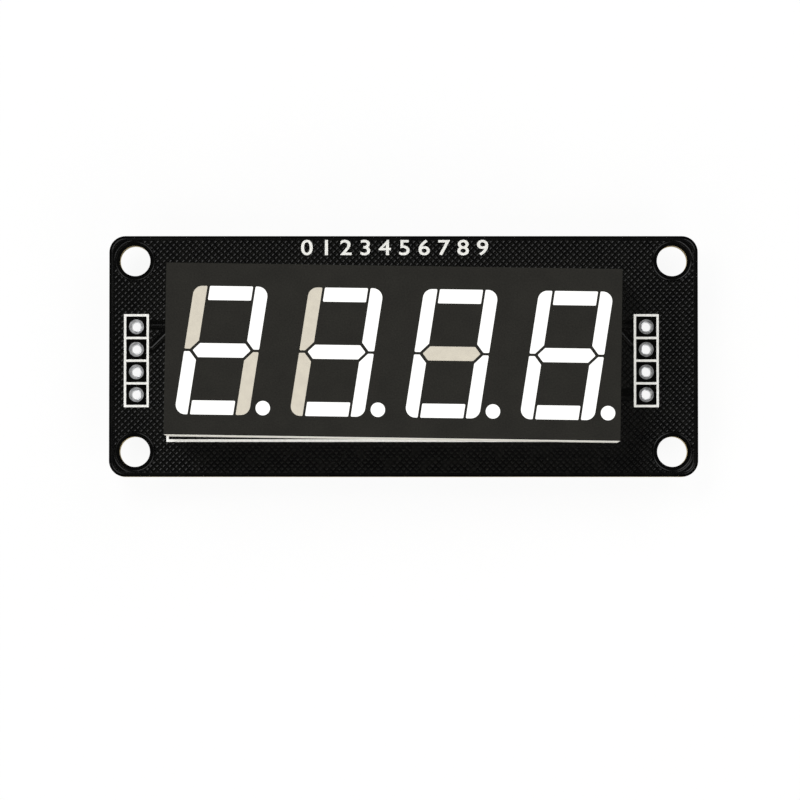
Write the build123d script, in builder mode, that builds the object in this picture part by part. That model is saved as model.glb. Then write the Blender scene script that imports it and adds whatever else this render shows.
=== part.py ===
"""Four-digit seven-segment display module.

A black circuit board carries one four-digit light-emitting display on its front, and a driver
chip with its small parts on its back. The board has a plated four-way header row at each end
and a mounting hole in each corner.

Origin: centre of the mounting-hole rectangle, on the board's front face.
+X runs along the board, +Y towards the top of the digits, +Z out of the display's face.
All sizes are in millimetres.
"""

from build123d import *
import os
from math import radians, tan

# Circuit board
board_length = 66.0
board_width = 27.0
board_thickness = 1.6
board_corner = 1.8
mount_inset_x = 2.9
mount_inset_y = 2.8
mount_hole = 3.4
mount_pitch_x = board_length - 2 * mount_inset_x
mount_pitch_y = board_width - 2 * mount_inset_y

# Plated holes: a copper barrel with a ring-shaped land on each face
pin_pitch = 2.54
plating = 0.05
land_thickness = 0.05
header_ways = 4
header_inset_left = 3.055
header_inset_right = 5.795
header_y = -0.49
header_bore = 1.0
header_ring = 0.325
pin_diameter = 0.5
pin_clearance = 0.225
display_ring = 0.4
header_land = header_bore + 2 * header_ring
display_bore = pin_diameter + 2 * pin_clearance
display_land = display_bore + 2 * display_ring

# Digits: bars are drawn upright about each digit's centre, then leaned over
digit_count = 4
digit_pitch = 12.7
digits_middle = (0.1, -0.14)
digit_height = 14.22
digit_width = 8.24
digit_lean = 8.0
stroke_across = 1.46
stroke_up = 1.56
bar_gap = 0.28
tip_setback = 0.93
knee_setback = 0.62
mitre_slope = 1.115
corner_round = 1.05
bar_round = 0.12
bar_draft = 1.0
point_diameter = 1.6
point_offset = 0.53

# Display block, soldered in slightly turned
block_trim = 0.4
digit_border = 2.39
display_length = digit_count * digit_pitch - block_trim
display_width = digit_height + 2 * digit_border
display_height = 8.0
display_middle = (-1.15, 0.15)
display_twist = -0.83
display_wall = 0.9
ink_thickness = 0.05
potting_rim = 0.3
potting_depth = 1.5
led_board_thickness = 0.8
led_board_clearance = 0.1
die_size = 0.36
die_thickness = 0.15

# Display pins, in two rows just inside the block's long walls
pin_columns = 6
pin_land_clearance = 0.105
pin_row_inset = display_wall + display_land / 2 + pin_land_clearance
pin_row_pitch = display_width - 2 * pin_row_inset
pin_below_board = 1.9
solder_height = 1.1
solder_margin = 0.175
solder_collar = 0.11
solder_foot = display_land - 2 * solder_margin
solder_neck = pin_diameter + 2 * solder_collar

# Driver chip on the back: a wide small-outline package
chip_leads_a_side = 10
chip_lead_pitch = 1.27
chip_end_margin = 0.685
chip_length = (chip_leads_a_side - 1) * chip_lead_pitch + 2 * chip_end_margin
chip_width = 7.5
chip_thickness = 2.3
chip_standoff = 0.15
chip_draft = 6.0
lead_reach = 1.4
chip_span = chip_width + 2 * lead_reach
lead_width = 0.41
lead_thickness = 0.25
lead_foot = 0.8
lead_shoulder = 0.45
lead_bend = 0.3
lead_root = 0.4
chip_mark = 1.1
chip_mark_inset = 1.3
chip_mark_depth = 0.1

# Small parts on the back: length, width and height of each body, and where each one stands,
# as x, y and turn on the back face seen from behind
ceramic_size = (1.6, 0.8, 0.8)
resistor_size = (1.6, 0.8, 0.45)
bulk_size = (3.2, 1.6, 1.5)
ceramic_spots = ((11.0, 4.8, 90), (11.0, 1.6, 90), (11.0, -1.6, 90), (-9.2, 4.2, 90))
resistor_spots = ((14.6, 4.8, 90), (14.6, 1.6, 90), (14.6, -1.6, 90))
bulk_spots = ((-11.8, -2.4, 90),)
cap_reach = 0.35
cap_plating = 0.03
tab_width = 1.2
tab_thickness = 0.12
tab_reach = 0.8
tab_climb = 0.9
land_margin = 0.15
fillet_reach = 0.4
fillet_share = 0.6

BAR_NAMES = ("a", "b", "c", "d", "e", "f", "g", "point")
lean = tan(radians(digit_lean))
digit_top = digit_height / 2
digit_side = digit_width / 2
led_board_top = potting_rim + potting_depth + led_board_thickness
bar_depth = display_height - led_board_top

display_base = Plane(Location((*display_middle, 0), (0, 0, display_twist)))
display_face = display_base.offset(display_height)
board_back = Plane((0, 0, -board_thickness), x_dir=(-1, 0, 0), z_dir=(0, 0, -1))
chip_base = Plane(
    (display_middle[0], 0, -board_thickness), x_dir=(-1, 0, 0), z_dir=(0, 0, -1)
)
display_footprint = Plane((*display_middle, 0))
header_left = Plane((header_inset_left - board_length / 2, header_y, 0))
header_right = Plane((board_length / 2 - header_inset_right, header_y, 0))


def keep(piece, name):
    """Labels a finished piece and writes it as its own STEP file."""
    piece.part.label = name
    export_step(piece.part, f"parts/{name}.step")


def plated_hole(bore, land):
    """One plated hole through the board: its barrel, and a land with a rolled lip on each face."""
    lip = 2 * plating
    with BuildPart() as hole:
        with BuildSketch(Plane.XZ):
            with BuildLine():
                Polyline(
                    (bore / 2, land_thickness),
                    (land / 2, land_thickness),
                    (land / 2, 0),
                    (bore / 2 + plating, 0),
                    (bore / 2 + plating, -board_thickness),
                    (land / 2, -board_thickness),
                    (land / 2, -board_thickness - land_thickness),
                    (bore / 2, -board_thickness - land_thickness),
                    close=True,
                )
            make_face()
            fillet(vertices().group_by(Axis.X)[0], lip)
        revolve(axis=Axis.Z)
    return hole.part


def bar_corners(name):
    """Corners of one light bar, upright and from the digit's centre, each with its rounding."""
    inner = digit_side - stroke_across
    mitre = stroke_up / 2 / mitre_slope
    tip = digit_side - tip_setback
    knee = digit_side - knee_setback
    middle = bar_gap / 2
    if name in "ad":
        end = inner - bar_gap
        low, high = digit_top - stroke_up, digit_top
        flip = 1 if name == "a" else -1
        return [
            (x, flip * y, bar_round)
            for x, y in ((-end, low), (end, low), (end, high), (-end, high))
        ]
    if name == "g":
        half = stroke_up / 2
        right = [(tip - mitre, -half, bar_round), (tip, 0, bar_round), (tip - mitre, half, bar_round)]
        return right + [(-x, -y, r) for x, y, r in right]
    across = 1 if name in "bc" else -1
    up = 1 if name in "bf" else -1
    outline = (
        (digit_side, middle, bar_round),
        (digit_side, digit_top, corner_round),
        (inner, digit_top, bar_round),
        (inner, middle + (knee - inner) * mitre_slope, bar_round),
        (knee, middle, bar_round),
    )
    return [(across * x, up * y, r) for x, y, r in outline]


def point_centre():
    """Centre of the decimal point, from the digit's centre. The point isn't leaned."""
    return (digit_side + point_offset, -digit_top + point_diameter / 2)


def bar_centre(name):
    """Middle of a light bar, from the digit's centre, where its light-emitting die sits."""
    if name == "point":
        return point_centre()
    corners = bar_corners(name)
    y = (min(c[1] for c in corners) + max(c[1] for c in corners)) / 2
    x = (min(c[0] for c in corners) + max(c[0] for c in corners)) / 2
    return (x + lean * y, y)


def digit_centre(digit):
    """Centre of a digit on the display's face, counted from the left."""
    step = digit - (digit_count - 1) / 2
    return (digits_middle[0] + step * digit_pitch, digits_middle[1])


def bar_core(name):
    """One light bar hanging from its wide front end at the digit's centre, narrowing downwards."""
    with BuildPart() as core:
        with BuildSketch():
            if name == "point":
                with Locations(point_centre()):
                    Circle(point_diameter / 2)
            else:
                corners = [((x + lean * y), y, r) for x, y, r in bar_corners(name)]
                with BuildLine():
                    Polyline(*[(x, y) for x, y, r in corners], close=True)
                make_face()
                for x, y, r in corners:
                    fillet(vertices().sort_by_distance((x, y))[0], r)
        extrude(amount=-bar_depth, taper=bar_draft)
    return core.part


def small_part_bodies(spots, size, lift):
    """Plain bodies of like small parts, each lifted off the back face by its terminals."""
    with BuildPart(board_back) as bodies:
        with Locations(*[Location((x, y, lift), (0, 0, turn)) for x, y, turn in spots]):
            Box(*size, align=(Align.CENTER, Align.CENTER, Align.MIN))
    return bodies


def wrapped_ends(spots, size, bodies):
    """Metal caps that wrap both ends of each body."""
    length, width, height = size
    places = [
        board_back * Location((x, y, land_thickness), (0, 0, turn)) for x, y, turn in spots
    ]
    base = (Align.CENTER, Align.CENTER, Align.MIN)
    with BuildPart() as ends:
        with Locations(*places):
            Box(
                length + 2 * cap_plating,
                width + 2 * cap_plating,
                height + 2 * cap_plating,
                align=base,
            )
            Box(length - 2 * cap_reach, 2 * width, 2 * height, align=base, mode=Mode.SUBTRACT)
        add(bodies.part, mode=Mode.SUBTRACT)
    return ends


def end_places(spots, reach):
    """Both ends of each small part, on the land's surface, with local +X pointing outwards."""
    for x, y, turn in spots:
        for way in (0, 180):
            middle = Location((x, y, land_thickness), (0, 0, turn + way))
            yield middle * Location((reach, 0, 0))


def solder_wedge(climb, reach, width):
    """A hollow-faced solder fillet against an upright end face at local x = 0."""
    with BuildPart() as wedge:
        with BuildSketch(Plane.XZ):
            with BuildLine():
                Line((0, climb), (0, 0))
                Line((0, 0), (reach, 0))
                RadiusArc((reach, 0), (0, climb), -1.6 * reach)
            make_face()
        extrude(amount=width / 2, both=True)
    return wedge.part


os.makedirs("parts", exist_ok=True)

# The board: black laminate, routed to shape and drilled
with BuildPart() as circuit_board:
    with BuildSketch():
        RectangleRounded(board_length, board_width, board_corner)
        with GridLocations(mount_pitch_x, mount_pitch_y, 2, 2):
            Circle(mount_hole / 2, mode=Mode.SUBTRACT)
        with Locations(header_left.origin, header_right.origin):
            with GridLocations(pin_pitch, pin_pitch, 1, header_ways):
                Circle(header_bore / 2 + plating, mode=Mode.SUBTRACT)
        with Locations(display_middle):
            with GridLocations(pin_pitch, pin_row_pitch, pin_columns, 2):
                Circle(display_bore / 2 + plating, mode=Mode.SUBTRACT)
    extrude(amount=-board_thickness)
keep(circuit_board, "circuit_board")

# Plated header holes at the two ends of the board
header_hole = plated_hole(header_bore, header_land)
with BuildPart(header_left) as header_holes_left:
    with GridLocations(pin_pitch, pin_pitch, 1, header_ways):
        add(header_hole)
keep(header_holes_left, "header_holes_left")

with BuildPart(header_right) as header_holes_right:
    with GridLocations(pin_pitch, pin_pitch, 1, header_ways):
        add(header_hole)
keep(header_holes_right, "header_holes_right")

# Plated holes that the display's pins are soldered into
display_hole = plated_hole(display_bore, display_land)
with BuildPart(display_footprint) as display_pin_holes:
    with GridLocations(pin_pitch, pin_row_pitch, pin_columns, 2):
        add(display_hole)
keep(display_pin_holes, "display_pin_holes")

# Display pins: from the top of the inner light-emitting-diode board down through the board
pin_length = led_board_top + board_thickness + pin_below_board
with BuildPart(display_base.offset(led_board_top)) as display_pins:
    with GridLocations(pin_pitch, pin_row_pitch, pin_columns, 2):
        Cylinder(pin_diameter / 2, pin_length, align=(Align.CENTER, Align.CENTER, Align.MAX))
keep(display_pins, "display_pins")

# Solder at the display pins: it fills each plated hole and climbs the trimmed pin behind
with BuildPart() as solder_cone:
    with BuildSketch(Plane.XZ):
        with BuildLine():
            Line((0, 0), (solder_foot / 2, 0))
            RadiusArc((solder_foot / 2, 0), (solder_neck / 2, -solder_height), solder_height)
            Line((solder_neck / 2, -solder_height), (0, -solder_height))
            Line((0, -solder_height), (0, 0))
        make_face()
    revolve(axis=Axis.Z)

with BuildPart() as display_pin_solder:
    solder_base = -board_thickness - land_thickness
    with Locations(display_footprint.offset(solder_base)):
        with GridLocations(pin_pitch, pin_row_pitch, pin_columns, 2):
            Cylinder(display_bore / 2, -solder_base, align=(Align.CENTER, Align.CENTER, Align.MIN))
    with Locations(display_base.offset(solder_base)):
        with GridLocations(pin_pitch, pin_row_pitch, pin_columns, 2):
            add(solder_cone.part)
    add(display_pin_holes.part, mode=Mode.SUBTRACT)
    add(display_pins.part, mode=Mode.SUBTRACT)
keep(display_pin_solder, "display_pin_solder")

# Light-emitting diodes: one bare die under the middle of every light bar
with BuildPart(display_base.offset(led_board_top)) as led_dies:
    for digit in range(digit_count):
        with Locations(digit_centre(digit)):
            with Locations(*[bar_centre(name) for name in BAR_NAMES]):
                Box(die_size, die_size, die_thickness, align=(Align.CENTER, Align.CENTER, Align.MIN))
keep(led_dies, "led_dies")

# Light bars: clear resin cast in the tapered cavities, each over its die
bar_cores = {name: bar_core(name) for name in BAR_NAMES}
light_bars = {}
for digit in range(digit_count):
    for name in BAR_NAMES:
        with BuildPart() as light_bar:
            with Locations(display_face * Location((*digit_centre(digit), 0))):
                add(bar_cores[name])
            add(led_dies.part, mode=Mode.SUBTRACT)
        label = f"digit_{digit + 1}_point" if name == "point" else f"digit_{digit + 1}_segment_{name}"
        light_bars[label] = light_bar
        keep(light_bar, label)

# Reflector housing: white moulding with a tapered cavity for every bar and a deep recess behind
with BuildPart() as display_housing:
    with BuildSketch(display_base):
        Rectangle(display_length, display_width)
    extrude(amount=display_height - ink_thickness)
    with BuildSketch(display_base):
        Rectangle(display_length - 2 * display_wall, display_width - 2 * display_wall)
    extrude(amount=led_board_top, mode=Mode.SUBTRACT)
    for light_bar in light_bars.values():
        add(light_bar.part, mode=Mode.SUBTRACT)
    add(led_dies.part, mode=Mode.SUBTRACT)
keep(display_housing, "display_housing")

# Face ink: the dark print on the housing's front, open over every light bar
with BuildPart() as display_face_ink:
    with BuildSketch(display_face):
        Rectangle(display_length, display_width)
    extrude(amount=-ink_thickness)
    for light_bar in light_bars.values():
        add(light_bar.part, mode=Mode.SUBTRACT)
keep(display_face_ink, "display_face_ink")

# Inner board that carries the dies and holds the pins
inner_length = display_length - 2 * display_wall
inner_width = display_width - 2 * display_wall
with BuildPart() as led_board:
    with BuildSketch(display_base.offset(led_board_top)):
        Rectangle(inner_length - 2 * led_board_clearance, inner_width - 2 * led_board_clearance)
    extrude(amount=-led_board_thickness)
    add(display_pins.part, mode=Mode.SUBTRACT)
keep(led_board, "led_board")

# Potting resin that seals the back of the housing round the pins
with BuildPart() as potting:
    with BuildSketch(display_base.offset(potting_rim)):
        Rectangle(inner_length, inner_width)
    extrude(amount=potting_depth)
    add(display_pins.part, mode=Mode.SUBTRACT)
keep(potting, "potting")

# One gull-wing lead of the driver chip, upright on its land at the middle of the chip
lead_level = land_thickness + lead_thickness / 2
chip_top = land_thickness + chip_standoff + chip_thickness
parting_level = chip_top - chip_thickness / 2
with BuildPart() as chip_lead:
    with BuildSketch(Plane.YZ):
        with BuildLine():
            FilletPolyline(
                (chip_width / 2 - lead_root, parting_level),
                (chip_width / 2 + lead_shoulder, parting_level),
                (chip_span / 2 - lead_foot, lead_level),
                (chip_span / 2, lead_level),
                radius=lead_bend,
            )
        trace(line_width=lead_thickness)
    extrude(amount=lead_width / 2, both=True)

with BuildPart(chip_base) as driver_chip_leads:
    with GridLocations(chip_lead_pitch, 0, chip_leads_a_side, 1):
        add(chip_lead.part)
        add(chip_lead.part, rotation=(0, 0, 180))
keep(driver_chip_leads, "driver_chip_leads")

# Driver chip's moulded body, drafted away from its parting line, with a pin-one dimple
with BuildPart() as driver_chip_body:
    with BuildSketch(chip_base.offset(parting_level)):
        Rectangle(chip_length, chip_width)
    extrude(amount=chip_thickness / 2, taper=chip_draft)
    with BuildSketch(chip_base.offset(parting_level)):
        Rectangle(chip_length, chip_width)
    extrude(amount=-chip_thickness / 2, taper=chip_draft)
    mark_x = -chip_length / 2 + chip_mark_inset
    mark_y = -chip_width / 2 + chip_mark_inset
    with Locations(chip_base.offset(chip_top) * Location((mark_x, mark_y, 0))):
        Cylinder(
            chip_mark / 2,
            chip_mark_depth,
            align=(Align.CENTER, Align.CENTER, Align.MAX),
            mode=Mode.SUBTRACT,
        )
    add(driver_chip_leads.part, mode=Mode.SUBTRACT)
keep(driver_chip_body, "driver_chip_body")

# Ceramic capacitors: blocking and filtering for the chip's supply and its two signal lines
cap_lift = land_thickness + cap_plating
ceramic_capacitor_bodies = small_part_bodies(ceramic_spots, ceramic_size, cap_lift)
keep(ceramic_capacitor_bodies, "ceramic_capacitor_bodies")
ceramic_capacitor_ends = wrapped_ends(ceramic_spots, ceramic_size, ceramic_capacitor_bodies)
keep(ceramic_capacitor_ends, "ceramic_capacitor_ends")

# Resistors: pull-ups on the signal lines
resistor_bodies = small_part_bodies(resistor_spots, resistor_size, cap_lift)
keep(resistor_bodies, "resistor_bodies")
resistor_ends = wrapped_ends(resistor_spots, resistor_size, resistor_bodies)
keep(resistor_ends, "resistor_ends")

# Bulk capacitor: a moulded block on two bent tabs
bulk_lift = land_thickness + tab_thickness
bulk_capacitor_body = small_part_bodies(bulk_spots, bulk_size, bulk_lift)
keep(bulk_capacitor_body, "bulk_capacitor_body")

with BuildPart(board_back) as bulk_capacitor_tabs:
    with Locations(*end_places(bulk_spots, bulk_size[0] / 2)):
        foot_length = tab_reach + tab_thickness
        with Locations((-tab_reach, 0, 0)):
            Box(
                foot_length,
                tab_width,
                tab_thickness,
                align=(Align.MIN, Align.CENTER, Align.MIN),
            )
        Box(
            tab_thickness,
            tab_width,
            tab_thickness + tab_climb,
            align=(Align.MIN, Align.CENTER, Align.MIN),
        )
keep(bulk_capacitor_tabs, "bulk_capacitor_tabs")

# Copper lands on the back under every lead, cap and tab
land_length = cap_reach + fillet_reach + 2 * land_margin
tab_land_length = tab_reach + fillet_reach + 2 * land_margin
lead_land_length = lead_foot + 2 * fillet_reach
with BuildPart(board_back) as surface_lands:
    for spots, size, reach in (
        (ceramic_spots, ceramic_size, land_length),
        (resistor_spots, resistor_size, land_length),
    ):
        with BuildSketch(board_back):
            with Locations(*end_places(spots, size[0] / 2 + fillet_reach + land_margin)):
                Rectangle(reach, size[1] + 2 * land_margin, align=(Align.MAX, Align.CENTER))
    with BuildSketch(board_back):
        with Locations(*end_places(bulk_spots, bulk_size[0] / 2 + fillet_reach + land_margin)):
            Rectangle(tab_land_length, tab_width + 2 * land_margin, align=(Align.MAX, Align.CENTER))
    with BuildSketch(chip_base):
        with GridLocations(chip_lead_pitch, chip_span - lead_foot, chip_leads_a_side, 2):
            Rectangle(lead_width + land_margin, lead_land_length)
    extrude(amount=land_thickness)
keep(surface_lands, "surface_lands")

# Solder fillets on those lands
cap_wedge = {
    size: solder_wedge(fillet_share * size[2], fillet_reach, size[1])
    for size in (ceramic_size, resistor_size)
}
tab_wedge = solder_wedge(fillet_share * tab_climb, fillet_reach, tab_width)
toe_wedge = solder_wedge(lead_thickness, fillet_reach / 2, lead_width)
with BuildPart(board_back) as surface_solder:
    for spots, size in ((ceramic_spots, ceramic_size), (resistor_spots, resistor_size)):
        with Locations(*end_places(spots, size[0] / 2 + cap_plating)):
            add(cap_wedge[size])
    with Locations(*end_places(bulk_spots, bulk_size[0] / 2 + tab_thickness)):
        add(tab_wedge)
keep(surface_solder, "surface_solder")

with BuildPart(chip_base) as driver_chip_solder:
    with GridLocations(chip_lead_pitch, 0, chip_leads_a_side, 1):
        for turn in (90, -90):
            with Locations(Location((0, 0, land_thickness), (0, 0, turn))):
                with Locations((chip_span / 2, 0, 0)):
                    add(toe_wedge)
keep(driver_chip_solder, "driver_chip_solder")
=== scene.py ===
"""Four-digit seven-segment display module: the looks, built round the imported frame.

The file follows the module as it is put together: bare board, copper pour, plated holes, white
print, display block, back side, and last the table that it stands on. Lengths are in metres,
written in millimetres times MM.
"""

import math

import bmesh
import bpy
from mathutils import Matrix, Vector


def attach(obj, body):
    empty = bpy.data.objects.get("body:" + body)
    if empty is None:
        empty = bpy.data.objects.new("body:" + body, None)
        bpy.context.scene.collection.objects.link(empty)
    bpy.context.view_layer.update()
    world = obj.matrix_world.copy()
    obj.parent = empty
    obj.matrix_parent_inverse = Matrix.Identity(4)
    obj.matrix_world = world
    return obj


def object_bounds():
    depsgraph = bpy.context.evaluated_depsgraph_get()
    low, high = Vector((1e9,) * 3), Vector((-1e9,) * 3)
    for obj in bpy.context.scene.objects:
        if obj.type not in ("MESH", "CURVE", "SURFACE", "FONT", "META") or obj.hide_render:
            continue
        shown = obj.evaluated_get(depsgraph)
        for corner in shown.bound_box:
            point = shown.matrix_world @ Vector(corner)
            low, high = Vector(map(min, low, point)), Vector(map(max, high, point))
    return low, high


MM = 0.001

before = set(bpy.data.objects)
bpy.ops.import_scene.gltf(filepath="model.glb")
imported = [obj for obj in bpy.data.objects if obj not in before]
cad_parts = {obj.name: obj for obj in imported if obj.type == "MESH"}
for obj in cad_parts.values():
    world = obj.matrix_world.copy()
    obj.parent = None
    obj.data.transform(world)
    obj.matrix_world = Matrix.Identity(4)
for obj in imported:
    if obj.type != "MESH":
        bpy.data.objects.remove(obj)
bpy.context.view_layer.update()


# ---------------------------------------------------------------------------------------------
# Bare board: 1.6 mm glass-fibre laminate, routed to shape and drilled, with black solder mask
# on both faces. The routed edge and the drilled walls have no mask, so the pale laminate with
# its layers of glass cloth shows there.
# ---------------------------------------------------------------------------------------------


def linear(code):
    """An sRGB hex colour as the linear colour that a shader takes."""
    parts = [int(code[i : i + 2], 16) / 255 for i in (0, 2, 4)]
    return [p / 12.92 if p <= 0.04045 else ((p + 0.055) / 1.055) ** 2.4 for p in parts] + [1.0]


def add(tree, kind, settings=None, **sockets):
    """Adds one node, with its settings, and its sockets (by name or _number) filled or linked."""
    made = tree.nodes.new(kind)
    for name, value in (settings or {}).items():
        setattr(made, name, value)
    for name, value in sockets.items():
        key = int(name[1:]) if name[0] == "_" else name.replace("_", " ")
        socket = made.inputs[key]
        if isinstance(value, bpy.types.NodeSocket):
            tree.links.new(value, socket)
        else:
            socket.default_value = value
    return made


def finish_named(name, **sockets):
    """A new material and its one shader, with the shader's own sockets set."""
    made = bpy.data.materials.new(name)
    made.use_nodes = True
    tree = made.node_tree
    tree.nodes.clear()
    shader = add(tree, "ShaderNodeBsdfPrincipled", **sockets)
    add(tree, "ShaderNodeOutputMaterial", Surface=shader.outputs[0])
    return made, tree, shader


def patches(tree, size, detail=2.0, stretch=(1, 1, 1)):
    """Soft random patches of about that size, from 0 to 1, fixed in the object."""
    place = add(tree, "ShaderNodeTexCoord").outputs["Object"]
    place = add(tree, "ShaderNodeMapping", Vector=place, Scale=stretch).outputs[0]
    return add(tree, "ShaderNodeTexNoise", Vector=place, Scale=1 / size, Detail=detail).outputs[0]


def between(tree, amount, first, second):
    """A colour from first to second, by amount."""
    ramp = add(tree, "ShaderNodeValToRGB", Fac=amount)
    ramp.color_ramp.elements[0].position = 0.35
    ramp.color_ramp.elements[0].color = first
    ramp.color_ramp.elements[1].position = 0.65
    ramp.color_ramp.elements[1].color = second
    return ramp.outputs[0]


def spread(tree, amount, low, high):
    """amount, from 0 to 1, turned to a number from low to high."""
    return add(tree, "ShaderNodeMapRange", Value=amount, To_Min=low, To_Max=high).outputs[0]


def relief(tree, shader, height, depth, edge=0.0):
    """Roughens a shader's surface by a pattern of that real depth, over softened edges."""
    bump = add(tree, "ShaderNodeBump", Height=height, Distance=depth, Strength=1.0)
    if edge:
        soft = add(tree, "ShaderNodeBevel", {"samples": 6}, Radius=edge).outputs[0]
        tree.links.new(soft, bump.inputs["Normal"])
    tree.links.new(bump.outputs[0], shader.inputs["Normal"])


def dress(names, material):
    """Gives CAD nodes a material."""
    for name in names:
        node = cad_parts[name]
        for place in node.material_slots:
            place.material = material


board_half = Vector((33 * MM, 13.5 * MM))
board_corner = 1.8 * MM
board_thick = 1.6 * MM


# Solder mask gives a deep black with small crisp glints. Only faces that look up or down have it;
# with_walls shows the pale laminate and its glass cloth on the rest.
def solder_mask(name, with_walls):
    """Black solder mask, smooth and faintly wavy, with or without bare laminate walls."""
    made, tree, shader = finish_named(name, IOR=1.5, Specular_IOR_Level=0.15)
    ripple = patches(tree, 1.4 * MM)
    mask = between(tree, ripple, linear("040404"), linear("080807"))
    if with_walls:
        normal = add(tree, "ShaderNodeTexCoord").outputs["Normal"]
        tall = add(tree, "ShaderNodeSeparateXYZ", Vector=normal).outputs[2]
        tall = add(tree, "ShaderNodeMath", {"operation": "ABSOLUTE"}, _0=tall).outputs[0]
        wall = add(tree, "ShaderNodeMath", {"operation": "LESS_THAN"}, _0=tall, _1=0.5).outputs[0]
        # Glass cloth shows as long thin layers along the cut edge
        plies = patches(tree, 3.0 * MM, 3.0, (1, 1, 15))
        cloth = between(tree, plies, linear("9c8b5c"), linear("b5a575"))
        both = add(
            tree, "ShaderNodeMix", {"data_type": "RGBA"}, Factor=wall, _6=mask, _7=cloth
        ).outputs[2]
        rough = add(tree, "ShaderNodeMix", Factor=wall, _2=0.2, _3=0.62).outputs[0]
        tree.links.new(both, shader.inputs["Base Color"])
        tree.links.new(rough, shader.inputs["Roughness"])
    else:
        tree.links.new(mask, shader.inputs["Base Color"])
        tree.links.new(spread(tree, ripple, 0.24, 0.3), shader.inputs["Roughness"])
    relief(tree, shader, patches(tree, 0.35 * MM), 0.002 * MM)
    return made


board_mask = solder_mask("black_solder_mask_on_laminate", True)
dress(["circuit_board"], board_mask)


# ---------------------------------------------------------------------------------------------
# Copper under the mask: a cross-hatched ground pour on both faces, 0.51 mm from line to line,
# etched from 35 micron foil. The mask lies over it and sinks into each opening, so every cell
# is a small dish. A plain line closes the pour along the board's edge and round each hole.
# ---------------------------------------------------------------------------------------------

hatch_pitch = 0.508 * MM
pour_height = 0.05 * MM
pour_inset = 0.5 * MM
pour_mask = solder_mask("black_solder_mask_over_copper", False)
display_centre = Vector((-1.15 * MM, 0.15 * MM))
display_half = Vector((25.2 * MM, 9.5 * MM))
display_twist = math.radians(-0.83)
header_columns = (-29.945 * MM, 27.205 * MM)
header_middle = -0.49 * MM
pin_pitch = 2.54 * MM
mount_half = Vector((30.1 * MM, 10.7 * MM))


def block(tree, centre, half, turn=0.0):
    """A tall box standing through the board's face, to cut the pour with."""
    shape = add(tree, "GeometryNodeMeshCube", Size=(2 * half[0], 2 * half[1], 2 * MM)).outputs[0]
    return add(
        tree,
        "GeometryNodeTransform",
        Geometry=shape,
        Translation=(*centre, 0),
        Rotation=(0, 0, turn),
    ).outputs[0]


def drum(tree, centre, radius):
    """A tall round bar standing through the board's face, to cut the pour with."""
    shape = add(
        tree, "GeometryNodeMeshCylinder", Vertices=48, Radius=radius, Depth=2 * MM
    ).outputs[0]
    return add(
        tree, "GeometryNodeTransform", Geometry=shape, Translation=(*centre, 0)
    ).outputs[0]


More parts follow.
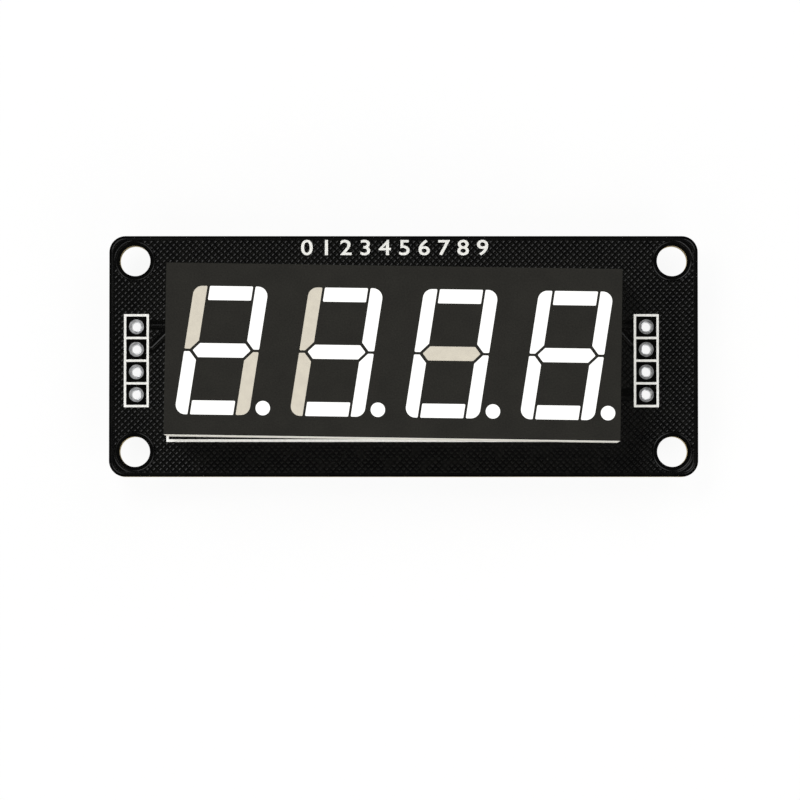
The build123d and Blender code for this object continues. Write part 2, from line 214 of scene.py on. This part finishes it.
def hatched_pour(name, boxes, circles):
    """The hatched pour of one face, cut clear of the boxes and circles, as a closed mesh."""
    tree = bpy.data.node_groups.new(name, "GeometryNodeTree")
    sizes = {
        "Pitch": hatch_pitch,
        "Height": pour_height,
        "Opening share": 0.66,
        "Dish depth": 0.04 * MM,
        "Dish share": 0.3,
    }
    sockets = {}
    for key in sizes:
        sockets[key] = tree.interface.new_socket(
            key, in_out="INPUT", socket_type="NodeSocketFloat"
        ).identifier
    tree.interface.new_socket("Geometry", in_out="OUTPUT", socket_type="NodeSocketGeometry")
    given = add(tree, "NodeGroupInput").outputs
    # A net of square cells, turned by an eighth and trimmed roughly to the board
    cells = 134  # enough to cover the board's length once the net is turned
    side = add(tree, "ShaderNodeMath", {"operation": "MULTIPLY"}, _0=given["Pitch"], _1=cells)
    net = add(
        tree,
        "GeometryNodeMeshGrid",
        Size_X=side.outputs[0],
        Size_Y=side.outputs[0],
        Vertices_X=cells + 1,
        Vertices_Y=cells + 1,
    ).outputs[0]
    net = add(
        tree, "GeometryNodeTransform", Geometry=net, Rotation=(0, 0, math.radians(45))
    ).outputs[0]
    place = add(tree, "GeometryNodeInputPosition").outputs[0]
    away = add(tree, "ShaderNodeVectorMath", {"operation": "ABSOLUTE"}, _0=place).outputs[0]
    away = add(
        tree, "ShaderNodeVectorMath", {"operation": "SUBTRACT"}, _0=away, _1=(*board_half, 0)
    ).outputs[0]
    away = add(tree, "ShaderNodeSeparateXYZ", Vector=away).outputs
    away = add(tree, "ShaderNodeMath", {"operation": "MAXIMUM"}, _0=away[0], _1=away[1]).outputs[0]
    drop = add(tree, "ShaderNodeMath", {"operation": "GREATER_THAN"}, _0=away, _1=0.0).outputs[0]
    net = add(
        tree, "GeometryNodeDeleteGeometry", {"domain": "FACE"}, Geometry=net, Selection=drop
    ).outputs[0]
    # Each cell rises to the pour's level, and its middle sinks to a small dish
    under = add(tree, "GeometryNodeFlipFaces", Mesh=net).outputs[0]
    up = add(tree, "ShaderNodeCombineXYZ", Z=1.0).outputs[0]
    raised = add(
        tree,
        "GeometryNodeExtrudeMesh",
        Mesh=net,
        Offset=up,
        Offset_Scale=given["Height"],
        Individual=False,
    ).outputs
    opened = add(
        tree,
        "GeometryNodeExtrudeMesh",
        Mesh=raised["Mesh"],
        Selection=raised["Top"],
        Offset=up,
        Offset_Scale=0.0,
        Individual=True,
    ).outputs
    rimmed = add(
        tree,
        "GeometryNodeScaleElements",
        Geometry=opened["Mesh"],
        Selection=opened["Top"],
        Scale=given["Opening share"],
    ).outputs[0]
    dished = add(
        tree,
        "GeometryNodeExtrudeMesh",
        Mesh=rimmed,
        Selection=opened["Top"],
        Offset=up,
        Offset_Scale=0.0,
        Individual=True,
    ).outputs
    narrowed = add(
        tree,
        "GeometryNodeScaleElements",
        Geometry=dished["Mesh"],
        Selection=dished["Top"],
        Scale=given["Dish share"],
    ).outputs[0]
    sink = add(tree, "ShaderNodeMath", {"operation": "MULTIPLY"}, _0=given["Dish depth"], _1=-1.0)
    sink = add(tree, "ShaderNodeCombineXYZ", Z=sink.outputs[0]).outputs[0]
    sunk = add(
        tree,
        "GeometryNodeSetPosition",
        Geometry=narrowed,
        Selection=dished["Top"],
        Offset=sink,
    ).outputs[0]
    both = add(tree, "GeometryNodeJoinGeometry")
    tree.links.new(sunk, both.inputs[0])
    tree.links.new(under, both.inputs[0])
    whole = add(
        tree, "GeometryNodeMergeByDistance", Geometry=both.outputs[0], Distance=0.001 * MM
    ).outputs[0]
    # Trimmed to the pour's own outline, then cleared round holes, headers, parts and tracks
    kept = add(tree, "GeometryNodeMeshBoolean", {"operation": "INTERSECT", "solver": "MANIFOLD"})
    outer = block(tree, (0, 0), board_half - Vector((pour_inset, pour_inset)))
    tree.links.new(outer, kept.inputs[1])
    tree.links.new(whole, kept.inputs[1])
    clear = add(tree, "GeometryNodeMeshBoolean", {"operation": "DIFFERENCE", "solver": "MANIFOLD"})
    tree.links.new(kept.outputs[0], clear.inputs[0])
    for centre, half, turn in boxes:
        tree.links.new(block(tree, centre, half, turn), clear.inputs[1])
    for centre, radius in circles:
        tree.links.new(drum(tree, centre, radius), clear.inputs[1])
    whole = add(
        tree, "GeometryNodeSetShadeSmooth", Geometry=clear.outputs[0], Shade_Smooth=False
    ).outputs[0]
    whole = add(tree, "GeometryNodeRealizeInstances", Geometry=whole).outputs[0]
    whole = add(tree, "GeometryNodeSetMaterial", Geometry=whole, Material=pour_mask).outputs[0]
    add(tree, "NodeGroupOutput", Geometry=whole)
    return plain_mesh(name, tree, {sockets[k]: v for k, v in sizes.items()})


def plain_mesh(name, tree, values):
    """Runs a node tree on an empty object and keeps its result as a plain mesh object."""
    piece = bpy.data.objects.new(name, bpy.data.meshes.new(name + "_seed"))
    bpy.context.scene.collection.objects.link(piece)
    modifier = piece.modifiers.new("make", "NODES")
    modifier.node_group = tree
    for identifier, value in values.items():
        modifier[identifier] = value
    bpy.context.view_layer.update()
    shaped = piece.evaluated_get(bpy.context.evaluated_depsgraph_get())
    mesh = bpy.data.meshes.new_from_object(shaped)
    mesh.name = name
    piece.modifiers.remove(modifier)
    piece.data = mesh
    return piece


def new_piece(name, shape, material):
    """A finished piece from a bmesh: placed at the origin, painted and riding on the module."""
    bmesh.ops.recalc_face_normals(shape, faces=shape.faces)
    mesh = bpy.data.meshes.new(name)
    shape.to_mesh(mesh)
    shape.free()
    for face in mesh.polygons:
        face.use_smooth = False
    mesh.materials.append(material)
    piece = bpy.data.objects.new(name, mesh)
    bpy.context.scene.collection.objects.link(piece)
    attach(piece, "root")
    return piece


def strip(shape, path, width, low, high, shoulder=0.3, closed=False):
    """A low flat-topped ridge that follows a path on the board, with mitred corners."""
    points = [Vector(p) for p in path]
    count = len(points)
    rings = []
    for i, point in enumerate(points):
        before = points[i - 1] if closed or i else None
        after = points[(i + 1) % count] if closed or i < count - 1 else None
        way_in = (point - before).normalized() if before is not None else None
        way_out = (after - point).normalized() if after is not None else None
        way_in = way_out if way_in is None else way_in
        way_out = way_in if way_out is None else way_out
        across = Vector((-(way_in + way_out).y, (way_in + way_out).x)).normalized()
        reach = 1 / max(0.35, across.dot(Vector((-way_in.y, way_in.x))))
        ring = []
        for side, level in ((-1, low), (-shoulder, high), (shoulder, high), (1, low)):
            spot = point + across * (side * width / 2 * reach)
            ring.append(shape.verts.new((spot.x, spot.y, level)))
        rings.append(ring)
    last = count if closed else count - 1
    for i in range(last):
        a, b = rings[i], rings[(i + 1) % count]
        for k in range(4):
            shape.faces.new((a[k], a[(k + 1) % 4], b[(k + 1) % 4], b[k]))
    if not closed:
        shape.faces.new(rings[0])
        shape.faces.new(rings[-1])


def arc(centre, radius, start, end, steps):
    """Points along an arc, angles in degrees."""
    angles = [math.radians(start + (end - start) * i / steps) for i in range(steps + 1)]
    return [(centre[0] + radius * math.cos(a), centre[1] + radius * math.sin(a)) for a in angles]


def rounded_box(half, radius, steps=8):
    """Corner-rounded rectangle round the origin, anticlockwise."""
    x, y = half[0] - radius, half[1] - radius
    corners = (((x, y), 0), ((-x, y), 90), ((-x, -y), 180), ((x, -y), 270))
    return [p for c, start in corners for p in arc(c, radius, start, start + 90, steps)]


mount_centres = [(sx * mount_half.x, sy * mount_half.y) for sx in (-1, 1) for sy in (-1, 1)]
corner_clear = [
    ((c[0] + math.copysign(2 * MM, c[0]), c[1] + math.copysign(2 * MM, c[1])), (2 * MM, 2 * MM), 0)
    for c in mount_centres
]
hole_clear_radius = 2.2 * MM
hole_clear = [(c, hole_clear_radius) for c in mount_centres]
header_half = (1.27 * MM, 5.2 * MM)
front_clear = [
    (display_centre, display_half - Vector((0.4 * MM, 0.4 * MM)), display_twist),
    ((header_columns[0], header_middle), header_half, 0.0),
    ((header_columns[1], header_middle), header_half, 0.0),
    ((-27.3 * MM, 3.5 * MM), (1.6 * MM, 0.5 * MM), 0.0),
    ((-27.35 * MM, 1.75 * MM), (1.6 * MM, 0.48 * MM), math.radians(45)),
    ((24.9 * MM, 3.5 * MM), (1.5 * MM, 0.5 * MM), 0.0),
    ((25.0 * MM, 2.05 * MM), (1.8 * MM, 0.48 * MM), math.radians(-48)),
    ((24.9 * MM, -4.3 * MM), (1.5 * MM, 0.72 * MM), 0.0),
]
front_pour = hatched_pour("front_hatched_pour", front_clear + corner_clear, hole_clear)
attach(front_pour, "root")

edge_line = 0.32 * MM
edge_inset = 0.42 * MM
hole_line = 0.3 * MM
hole_line_radius = 2.24 * MM


def border_lines(shape):
    """The plain lines that close a pour: one along the board's edge, one round each hole."""
    edge = rounded_box(board_half - Vector((edge_inset, edge_inset)), board_corner - edge_inset)
    strip(shape, edge, edge_line, 0, pour_height, closed=True)
    for centre in mount_centres:
        ring = arc(centre, hole_line_radius, 0, 360, 48)[:-1]
        strip(shape, ring, hole_line, 0, pour_height, closed=True)


# The front's border lines, and the tracks and pour lines, in millimetres, that leave the headers
# and run in under the display
front_lines = bmesh.new()
border_lines(front_lines)
for path, width in (
    (((-28.35, 3.4), (-26.3, 3.4)), 0.36),
    (((-28.35, 4.07), (-26.3, 4.07)), 0.12),
    (((-28.35, 0.85), (-28.1, 0.95), (-26.3, 2.75)), 0.36),
    (((-28.35, 1.95), (-27.9, 2.1), (-26.9, 3.1)), 0.1),
    (((25.6, 3.4), (24.0, 3.4)), 0.36),
    (((25.6, 4.0), (24.0, 4.0)), 0.12),
    (((25.6, 1.2), (24.0, 3.0)), 0.36),
    (((25.6, 0.35), (24.0, 2.15)), 0.1),
    (((25.6, -4.68), (24.0, -4.68)), 0.36),
    (((25.6, -3.55), (24.0, -3.55)), 0.12),
):
    strip(front_lines, [(x * MM, y * MM) for x, y in path], width * MM, 0, pour_height)
new_piece("front_copper_lines", front_lines, pour_mask)


# ---------------------------------------------------------------------------------------------
# Plated holes and bare lands: copper levelled with hot-air tin. The tin is bright and slightly
# domed, with soft ripples where the air knife left it.
# ---------------------------------------------------------------------------------------------


def tin(name, light, dark, rough, ripple_size, ripple_depth):
    """Bright tin or solder over copper: a grey metal whose gloss varies in soft patches."""
    made, tree, shader = finish_named(name, Metallic=1.0)
    soft = patches(tree, ripple_size)
    tree.links.new(between(tree, soft, linear(dark), linear(light)), shader.inputs["Base Color"])
    tree.links.new(
        spread(tree, patches(tree, ripple_size * 0.6), rough * 0.7, rough * 1.4),
        shader.inputs["Roughness"],
    )
    relief(tree, shader, soft, ripple_depth)
    return made


# Levelled tin gives a soft grey-white shine with broad ripples
levelled_tin = tin("hot_air_levelled_tin", "e3e4e6", "c2c4c7", 0.38, 0.4 * MM, 0.01 * MM)
dress(
    ["header_holes_left", "header_holes_right", "display_pin_holes", "surface_lands"], levelled_tin
)


# ---------------------------------------------------------------------------------------------
# White print: epoxy ink screened on the mask. It frames every header way in its own cell, draws
# the display's outline, and numbers the top edge with plain digits.
# ---------------------------------------------------------------------------------------------

print_top = 0.066 * MM

# Print ink gives a bright, nearly matt white with a faint grain from the screen
white_ink, tree, shader = finish_named("white_screened_epoxy_ink", Roughness=0.55)
tree.links.new(
    between(tree, patches(tree, 0.25 * MM), linear("eeeeea"), linear("fbfbf8")),
    shader.inputs["Base Color"],
)
relief(tree, shader, patches(tree, 0.12 * MM), 0.004 * MM)


def cell_frame(shape, xs, ys, is_open, low, high):
    """A flat plate on the lines xs and ys with some of its cells left open, and walls round it."""
    levels = {}
    for level in (low, high):
        levels[level] = [[shape.verts.new((x, y, level)) for y in ys] for x in xs]

    def solid(i, j):
        return 0 <= i < len(xs) - 1 and 0 <= j < len(ys) - 1 and not is_open(i, j)

    for i in range(len(xs) - 1):
        for j in range(len(ys) - 1):
            if not solid(i, j):
                continue
            ring = ((i, j), (i + 1, j), (i + 1, j + 1), (i, j + 1))
            for level in (low, high):
                shape.faces.new([levels[level][a][b] for a, b in ring])
            for k, (di, dj) in enumerate(((0, -1), (1, 0), (0, 1), (-1, 0))):
                if not solid(i + di, j + dj):
                    (a, b), (c, d) = ring[k], ring[(k + 1) % 4]
                    shape.faces.new(
                        [levels[low][a][b], levels[low][c][d], levels[high][c][d], levels[high][a][b]]
                    )
    for level in (low, high):
        for row in levels[level]:
            for vert in row:
                if not vert.link_faces:
                    shape.verts.remove(vert)


line_width = 0.26 * MM
half_line = line_width / 2
half_cell = pin_pitch / 2
cell_lines = [header_middle + (k - 2) * (pin_pitch + 0.005 * MM) for k in range(5)]


def header_frame(shape, column):
    """The print round one header row, with an open cell for each way."""
    xs = [column + s * half_cell + t * half_line for s in (-1, 1) for t in (-1, 1)]
    ys = [y + t * half_line for y in cell_lines for t in (-1, 1)]
    cell_frame(shape, xs, ys, lambda i, j: i == 1 and j % 2 == 1, 0, print_top)


for side, column in zip(("left", "right"), header_columns):
    boxes = bmesh.new()
    header_frame(boxes, column)
    new_piece(f"header_frame_print_{side}", boxes, white_ink)

outline = bmesh.new()
outline_line = 0.3 * MM
outline_centre = Vector((-1.22 * MM, 0.0 * MM))
outline_half = Vector((25.2 * MM, 9.45 * MM))
corners = ((-1, -1), (1, -1), (1, 1), (-1, 1))
strip(
    outline,
    [outline_centre + Vector((sx * outline_half.x, sy * outline_half.y)) for sx, sy in corners],
    outline_line,
    0,
    print_top,
    shoulder=0.98,
    closed=True,
)
new_piece("display_outline_print", outline, white_ink)

# The digit row is built from the built-in letter shapes, then stretched to its place on the board
digit_row = bpy.data.curves.new("top_digit_row", "FONT")
digit_row.body = "0 1 2 3 4 5 6 7 8 9"
digit_row.align_x = "CENTER"
digit_row.size = 1.0
digit_row.extrude = 0.1
digit_row.offset = 0.012
row_object = bpy.data.objects.new("top_digit_row", digit_row)
bpy.context.scene.collection.objects.link(row_object)
bpy.context.view_layer.update()
row_shape = bmesh.new()
row_mesh = bpy.data.meshes.new_from_object(
    row_object.evaluated_get(bpy.context.evaluated_depsgraph_get())
)
row_shape.from_mesh(row_mesh)
bpy.data.objects.remove(row_object)
row_low = Vector([min(v.co[k] for v in row_shape.verts) for k in range(3)])
row_high = Vector([max(v.co[k] for v in row_shape.verts) for k in range(3)])
row_size = row_high - row_low
cap_height = 1.76 * MM
row_length = 21.0 * MM
row_foot = Vector((-1.0 * MM - row_length / 2, 11.33 * MM, 0))
for vert in row_shape.verts:
    share = [(vert.co[k] - row_low[k]) / row_size[k] for k in range(3)]
    vert.co = row_foot + Vector(
        (share[0] * row_length, share[1] * cap_height, share[2] * print_top)
    )
bmesh.ops.remove_doubles(row_shape, verts=row_shape.verts, dist=0.002 * MM)
new_piece("top_digit_print", row_shape, white_ink)


# ---------------------------------------------------------------------------------------------
# Display block: a white moulded reflector with a cavity for each bar, cast full of milky resin
# and printed dark on its face. Lit bars glow evenly; unlit ones show the resin's cream colour.
# ---------------------------------------------------------------------------------------------

# Housing plastic gives a warm white with a broad soft sheen and softened edges
housing_plastic, tree, shader = finish_named("white_moulded_abs", Roughness=0.48, IOR=1.54)
tree.links.new(
    between(tree, patches(tree, 2.0 * MM, 4.0), linear("e8e5da"), linear("ebe8df")),
    shader.inputs["Base Color"],
)
relief(tree, shader, patches(tree, 0.11 * MM), 0.004 * MM, 0.12 * MM)
dress(["display_housing"], housing_plastic)

# Face ink gives a flat dark grey that hardly shines, so that the bars stand out
face_print, tree, shader = finish_named(
    "matt_dark_face_ink", Roughness=0.8, IOR=1.45, Specular_IOR_Level=0.15
)
grain = add(
    tree,
    "ShaderNodeMath",
    {"operation": "ADD"},
    _0=spread(tree, patches(tree, 0.16 * MM), 0.0, 0.7),
    _1=spread(tree, patches(tree, 2.5 * MM), 0.0, 0.3),
).outputs[0]
tree.links.new(
    between(tree, grain, linear("1e1d1a"), linear("272622")), shader.inputs["Base Color"]
)
relief(tree, shader, patches(tree, 0.1 * MM), 0.003 * MM)
dress(["display_face_ink"], face_print)

# Lit resin gives an even white glow that hides the resin's own colour
lit_resin, tree, shader = finish_named("lit_milky_resin", Roughness=0.3, Emission_Strength=1.0)
tree.links.new(
    between(tree, patches(tree, 1.2 * MM), linear("6e6d6a"), linear("757471")),
    shader.inputs["Base Color"],
)
shader.inputs["Emission Color"].default_value = linear("fefefc")
relief(tree, shader, patches(tree, 0.5 * MM), 0.003 * MM)

# Unlit resin gives a milky cream with a slight gloss and faint clouds
unlit_resin, tree, shader = finish_named("unlit_milky_resin", Roughness=0.32, IOR=1.52)
tree.links.new(
    between(tree, patches(tree, 0.9 * MM), linear("ccc5b6"), linear("d2cbbb")),
    shader.inputs["Base Color"],
)
relief(tree, shader, patches(tree, 0.4 * MM), 0.004 * MM)
unlit = {f"digit_{d}_segment_{s}" for d, s in ((1, "f"), (1, "c"), (2, "f"), (2, "e"), (3, "g"))}
bars = [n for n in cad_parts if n.startswith("digit_")]
dress([n for n in bars if n not in unlit], lit_resin)
dress(sorted(unlit), unlit_resin)

# Coated laminate gives a plain off-white floor behind the resin
inner_board, tree, shader = finish_named("white_coated_laminate", Roughness=0.5)
tree.links.new(
    between(tree, patches(tree, 0.8 * MM), linear("ddd8c4"), linear("eae6d6")),
    shader.inputs["Base Color"],
)
relief(tree, shader, patches(tree, 0.2 * MM), 0.003 * MM)
dress(["led_board"], inner_board)

# Phosphor gives each die a matt yellow patch
phosphor, tree, shader = finish_named("phosphor_on_die", Roughness=0.6)
tree.links.new(
    between(tree, patches(tree, 0.05 * MM), linear("d9d24e"), linear("efe88a")),
    shader.inputs["Base Color"],
)
dress(["led_dies"], phosphor)

# Potting resin gives a cream gloss with slow waves where it shrank
potting_resin, tree, shader = finish_named("cloudy_cast_epoxy", Roughness=0.22, IOR=1.55)
tree.links.new(
    between(tree, patches(tree, 2.2 * MM), linear("cfc29a"), linear("ded6b8")),
    shader.inputs["Base Color"],
)
relief(tree, shader, patches(tree, 1.1 * MM), 0.02 * MM)
dress(["potting"], potting_resin)


# ---------------------------------------------------------------------------------------------
# Pins and solder: tinned steel pins clipped short behind the board, each in its cone of bright
# solder, and hollow solder fillets along the surface parts.
# ---------------------------------------------------------------------------------------------

# Pins give a bright streaky shine, solder a near mirror, and end caps a satin grey
pin_tin = tin("tin_plated_pin", "cfd0d2", "a9abae", 0.28, 0.3 * MM, 0.003 * MM)
bright_solder = tin("bright_solder", "d7d8da", "b4b6b9", 0.17, 0.5 * MM, 0.012 * MM)
end_tin = tin("satin_tin_cap", "c6c7c9", "a6a8ab", 0.4, 0.18 * MM, 0.006 * MM)
dress(["display_pins", "driver_chip_leads", "bulk_capacitor_tabs"], pin_tin)
dress(["display_pin_solder", "surface_solder", "driver_chip_solder"], bright_solder)
dress(["ceramic_capacitor_ends", "resistor_ends"], end_tin)


# ---------------------------------------------------------------------------------------------
# Back parts: a moulded driver chip, tan ceramic and ochre moulded capacitors, and glazed
# resistors, all reflow-soldered.
# ---------------------------------------------------------------------------------------------

# Moulding compound gives a near-black matt with a fine grain of filler
chip_epoxy, tree, shader = finish_named("black_moulding_compound", Roughness=0.55, IOR=1.5)
grains = patches(tree, 0.07 * MM, 3.0)
tree.links.new(
    between(tree, grains, linear("171718"), linear("242425")), shader.inputs["Base Color"]
)
relief(tree, shader, grains, 0.008 * MM, 0.08 * MM)
dress(["driver_chip_body"], chip_epoxy)

# Ochre compound gives the bulk capacitor its warm matt colour
ochre_epoxy, tree, shader = finish_named("ochre_moulding_compound", Roughness=0.5, IOR=1.5)
tree.links.new(
    between(tree, patches(tree, 0.12 * MM), linear("ae8026"), linear("c39535")),
    shader.inputs["Base Color"],
)
relief(tree, shader, patches(tree, 0.1 * MM), 0.005 * MM)
dress(["bulk_capacitor_body"], ochre_epoxy)

# Fired ceramic gives a smooth tan with a low sheen
tan_ceramic, tree, shader = finish_named("fired_tan_ceramic", Roughness=0.38, IOR=1.6)
tree.links.new(
    between(tree, patches(tree, 0.1 * MM), linear("9b7d5a"), linear("ae916d")),
    shader.inputs["Base Color"],
)
relief(tree, shader, patches(tree, 0.08 * MM), 0.004 * MM)
dress(["ceramic_capacitor_bodies"], tan_ceramic)

# Overglaze gives each resistor a small black gloss
resistor_glaze, tree, shader = finish_named("black_overglaze", Roughness=0.25, IOR=1.55)
tree.links.new(
    between(tree, patches(tree, 0.2 * MM), linear("121212"), linear("1b1b1b")),
    shader.inputs["Base Color"],
)
relief(tree, shader, patches(tree, 0.15 * MM), 0.004 * MM)
dress(["resistor_bodies"], resistor_glaze)


# ---------------------------------------------------------------------------------------------
# Back of the board: the same hatched pour round the edges, plain tracks that fan out from the
# chip to the display's pins and the headers, tented vias, and a white outline round each part.
# Drawn as seen from behind, then turned over onto the back face.
# ---------------------------------------------------------------------------------------------

over = Matrix.Translation((0, 0, -board_thick)) @ Matrix.Rotation(math.pi, 4, "Y")
chip_middle = -display_centre.x
lead_pitch = 1.27 * MM
parts_clear = [
    ((1.6 * MM, 0.15 * MM), (16.2 * MM, 9.2 * MM), 0.0),
    ((-header_columns[0], header_middle), header_half, 0.0),
    ((-header_columns[1], header_middle), header_half, 0.0),
    ((23.0 * MM, 2.05 * MM), (6.2 * MM, 1.9 * MM), 0.0),
    ((-20.5 * MM, 2.05 * MM), (6.0 * MM, 1.9 * MM), 0.0),
]
back_pour = hatched_pour("back_hatched_pour", parts_clear + corner_clear, hole_clear)
back_pour.data.transform(over)
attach(back_pour, "root")

back_lines = bmesh.new()
border_lines(back_lines)
back_height = 0.035 * MM
signal_line = 0.25 * MM
supply_line = 0.3 * MM
via_places = []
for side in (-1, 1):
    for pin, lead in enumerate((0, 2, 4, 5, 7, 9)):
        x0 = chip_middle + (lead - 4.5) * lead_pitch
        x1 = chip_middle + (pin - 2.5) * pin_pitch
        turn = abs(x1 - x0)
        route = (
            (x0, side * 5.5 * MM),
            (x0, side * 5.9 * MM),
            (x1, side * 5.9 * MM + side * turn),
            (x1, side * 7.0 * MM),
        )
        strip(back_lines, route, signal_line, 0, back_height, 0.5)
    for lead in (1, 3, 6, 8):
        x0 = chip_middle + (lead - 4.5) * lead_pitch
        route = ((x0, side * 5.5 * MM), (x0, side * 6.25 * MM))
        strip(back_lines, route, signal_line, 0, back_height, 0.5)
        via_places.append((x0, side * 6.4 * MM))
for y in (3.32 * MM, 0.78 * MM):
    down, up = y - 0.8 * MM, y + 1.1 * MM
    for route in (
        ((29.0 * MM, y), (17.2 * MM, y), (16.4 * MM, down), (15.2 * MM, down)),
        ((-26.3 * MM, y), (-14.5 * MM, y), (-13.4 * MM, up), (-10.4 * MM, up)),
    ):
        strip(back_lines, route, supply_line, 0, back_height, 0.5)
    via_places.append((17.9 * MM, y - 2.9 * MM))
    via_places.append((-15.4 * MM, y - 3.1 * MM))
for x, y in via_places:
    # A tented via: a low domed ring with a small sunk middle
    rims = []
    for radius, level in ((0.3, 0.0), (0.26, 0.035), (0.16, 0.045), (0.08, 0.02)):
        ring = [
            back_lines.verts.new((px, py, level * MM))
            for px, py in arc((x, y), radius * MM, 0, 360, 16)[:-1]
        ]
        rims.append(ring)
    for low, high in zip(rims, rims[1:]):
        for k in range(16):
            back_lines.faces.new((low[k], low[(k + 1) % 16], high[(k + 1) % 16], high[k]))
    back_lines.faces.new(rims[0])
    back_lines.faces.new(rims[-1])
back_lines.transform(over)
new_piece("back_copper_lines", back_lines, pour_mask)

back_print = bmesh.new()
back_ink = 0.03 * MM
part_line = 0.15 * MM


def part_outline(centre, half):
    """A screened rectangle round one part."""
    box = [(centre[0] + sx * half[0], centre[1] + sy * half[1]) for sx, sy in corners]
    strip(back_print, box, part_line, 0, back_ink, 0.97, closed=True)


small_parts = [(11.0, y) for y in (4.8, 1.6, -1.6)] + [(-9.2, 4.2)]
small_parts += [(14.6, y) for y in (4.8, 1.6, -1.6)]
for x, y in small_parts:
    part_outline((x * MM, y * MM), (0.78 * MM, 1.52 * MM))
part_outline((-11.8 * MM, -2.4 * MM), (1.15 * MM, 2.45 * MM))
for side in (-1, 1):
    end = chip_middle + side * 6.75 * MM
    strip(back_print, ((end, -3.6 * MM), (end, 3.6 * MM)), part_line, 0, back_ink, 0.97)

# The dot beside the chip's first lead
ring = [
    back_print.verts.new((px, py, back_ink))
    for px, py in arc((chip_middle - 7.3 * MM, -4.75 * MM), 0.3 * MM, 0, 360, 24)[:-1]
]
foot = [back_print.verts.new((v.co.x, v.co.y, 0)) for v in ring]
back_print.faces.new(ring)
back_print.faces.new(foot)
for k in range(24):
    back_print.faces.new((foot[k], foot[(k + 1) % 24], ring[(k + 1) % 24], ring[k]))
for column in header_columns:
    header_frame(back_print, -column)
back_print.transform(over)
new_piece("back_part_outlines_print", back_print, white_ink)


# ---------------------------------------------------------------------------------------------
# Table, light and camera: a wide pale sweep under and round the module, four broad soft lamps
# off the corners so that the gloss shows no glare, and a long lens almost straight above.
# ---------------------------------------------------------------------------------------------

floor_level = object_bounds()[0].z
sweep = bmesh.new()
profile = [(0.4, 0.0), (1.2, 0.0), (2.4, 0.0), (2.7, 0.03), (2.9, 0.12), (3.0, 0.3), (3.02, 0.6)]
rings = []
for radius, rise in profile:
    ring = []
    for k in range(64):
        a = 2 * math.pi * k / 64
        ring.append(
            sweep.verts.new((radius * math.cos(a), radius * math.sin(a), floor_level + rise))
        )
    rings.append(ring)
middle = sweep.verts.new((0, 0, floor_level))
for k in range(64):
    sweep.faces.new((middle, rings[0][k], rings[0][(k + 1) % 64]))
for a, b in zip(rings, rings[1:]):
    for k in range(64):
        sweep.faces.new((a[k], b[k], b[(k + 1) % 64], a[(k + 1) % 64]))
sweep_mesh = bpy.data.meshes.new("table_sweep")
sweep.to_mesh(sweep_mesh)
sweep.free()
table = bpy.data.objects.new("table_sweep", sweep_mesh)
bpy.context.scene.collection.objects.link(table)
for face in sweep_mesh.polygons:
    face.use_smooth = True

# The table gives a white ground to the eye and still takes the module's shadow
table_white, tree, shader = finish_named("pale_table", Roughness=0.9)
shader.inputs["Base Color"].default_value = linear("f4f4f3")
shader.inputs["Specular IOR Level"].default_value = 0.0
path = add(tree, "ShaderNodeLightPath").outputs
seen = add(
    tree,
    "ShaderNodeMath",
    {"operation": "MAXIMUM"},
    _0=path["Is Camera Ray"],
    _1=path["Is Glossy Ray"],
).outputs[0]
seen = add(
    tree,
    "ShaderNodeMath",
    {"operation": "MAXIMUM"},
    _0=seen,
    _1=path["Is Transmission Ray"],
).outputs[0]
ground_share = 0.92
seen = add(
    tree, "ShaderNodeMath", {"operation": "MULTIPLY"}, _0=seen, _1=ground_share
).outputs[0]
white = add(tree, "ShaderNodeEmission", Color=(1, 1, 1, 1), Strength=1.0).outputs[0]
mixed = add(tree, "ShaderNodeMixShader", Fac=seen, _1=shader.outputs[0], _2=white).outputs[0]
tree.links.new(mixed, tree.nodes["Material Output"].inputs["Surface"])
sweep_mesh.materials.append(table_white)

world = bpy.data.worlds.new("studio")
bpy.context.scene.world = world
world.use_nodes = True
world.node_tree.nodes["Background"].inputs["Color"].default_value = (1, 1, 1, 1)
world.node_tree.nodes["Background"].inputs["Strength"].default_value = 0.06


def soft_lamp(name, place, size, power):
    """A broad soft lamp aimed at the module."""
    lamp = bpy.data.lights.new(name, "AREA")
    lamp.shape = "RECTANGLE"
    lamp.size, lamp.size_y = size
    lamp.energy = power
    holder = bpy.data.objects.new(name, lamp)
    holder.location = place
    holder.rotation_mode = "QUATERNION"
    holder.rotation_quaternion = (-Vector(place)).to_track_quat("-Z", "Y")
    bpy.context.scene.collection.objects.link(holder)


lamp_size = (0.9, 0.45)
for name, place, power in (
    ("key_lamp", (-0.50, 0.50, 0.78), 7.4),
    ("south_east_lamp", (0.66, -0.66, 0.52), 6.6),
    ("south_west_lamp", (-0.66, -0.66, 0.52), 5.6),
    ("north_east_lamp", (0.66, 0.66, 0.52), 5.2),
):
    soft_lamp(name, place, lamp_size, power)

lens = bpy.data.cameras.new("long_lens")
lens.sensor_width = 36
lens.lens = 212.2
lens.clip_start = 0.05
lens.clip_end = 20
camera = bpy.data.objects.new("camera", lens)
camera.location = (-0.4 * MM, -24.5 * MM, 528 * MM)
aim = Vector((-0.4 * MM, -4.9 * MM, 0)) - camera.location
camera.rotation_mode = "QUATERNION"
camera.rotation_quaternion = aim.to_track_quat("-Z", "Y")
bpy.context.scene.collection.objects.link(camera)
bpy.context.scene.camera = camera
bpy.context.scene.view_settings.view_transform = "Standard"
